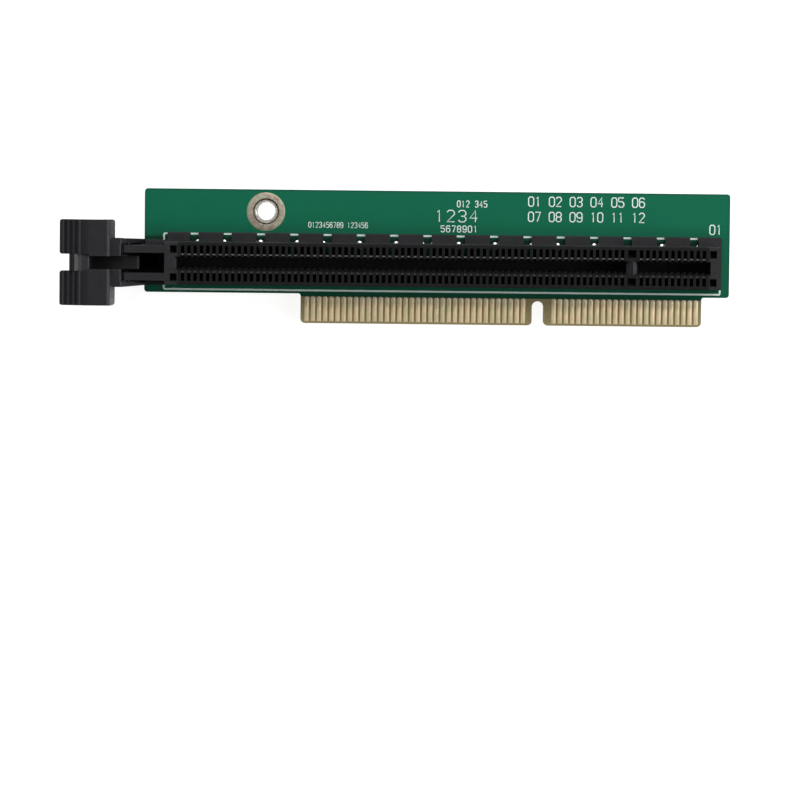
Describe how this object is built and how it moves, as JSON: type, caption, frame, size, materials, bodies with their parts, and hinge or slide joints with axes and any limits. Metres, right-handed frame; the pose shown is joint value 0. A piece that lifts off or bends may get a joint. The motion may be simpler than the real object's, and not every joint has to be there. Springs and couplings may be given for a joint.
{
  "type": "pcie riser card",
  "caption": "Passive riser card: a green board with a gold edge connector, a x16 slot standing on it, a hinged retention latch and a threaded nut.",
  "frame": {"origin": "axis of the threaded nut, on the board's rear face", "axes": "+X along the slot away from the latch, +Y towards the board's plain long edge, away from the gold fingers, +Z out of the component side, along the nut's axis"},
  "size_m": [0.1073, 0.0216, 0.017],
  "materials": {
    "board_laminate": "green solder mask over glass laminate, semi-gloss",
    "slot_plastic": "black glass-filled nylon, satin",
    "latch_plastic": "dark grey moulded nylon, satin",
    "nut_steel": "tin-plated steel",
    "tinned_copper": "tinned copper ring, satin",
    "gold_plate": "gold plating, satin",
    "contact_metal": "gold and tin plated bronze"
  },
  "bodies": {
    "card": {"circuit_board": "board_laminate", "contacts_a_long_inner": "contact_metal", "contacts_a_long_outer": "contact_metal", "contacts_a_short_inner": "contact_metal", "contacts_a_short_outer": "contact_metal", "contacts_b_long_inner": "contact_metal", "contacts_b_long_outer": "contact_metal", "contacts_b_short_inner": "contact_metal", "contacts_b_short_outer": "contact_metal", "fingers_front_long": "gold_plate", "fingers_front_short": "gold_plate", "fingers_rear_long": "gold_plate", "fingers_rear_short": "gold_plate", "mount_pad_front": "tinned_copper", "mount_pad_rear": "tinned_copper", "slot_housing": "slot_plastic", "threaded_nut": "nut_steel"},
    "latch": {"retention_latch": "latch_plastic"}
  },
  "joints": [
    {"name": "latch_pivot", "type": "hinge", "parent": "card", "child": "latch", "pos_m": [-0.02097, -0.00828, 0.005], "axis": [0, -1, 0], "range_deg": [0, 30]}
  ]
}
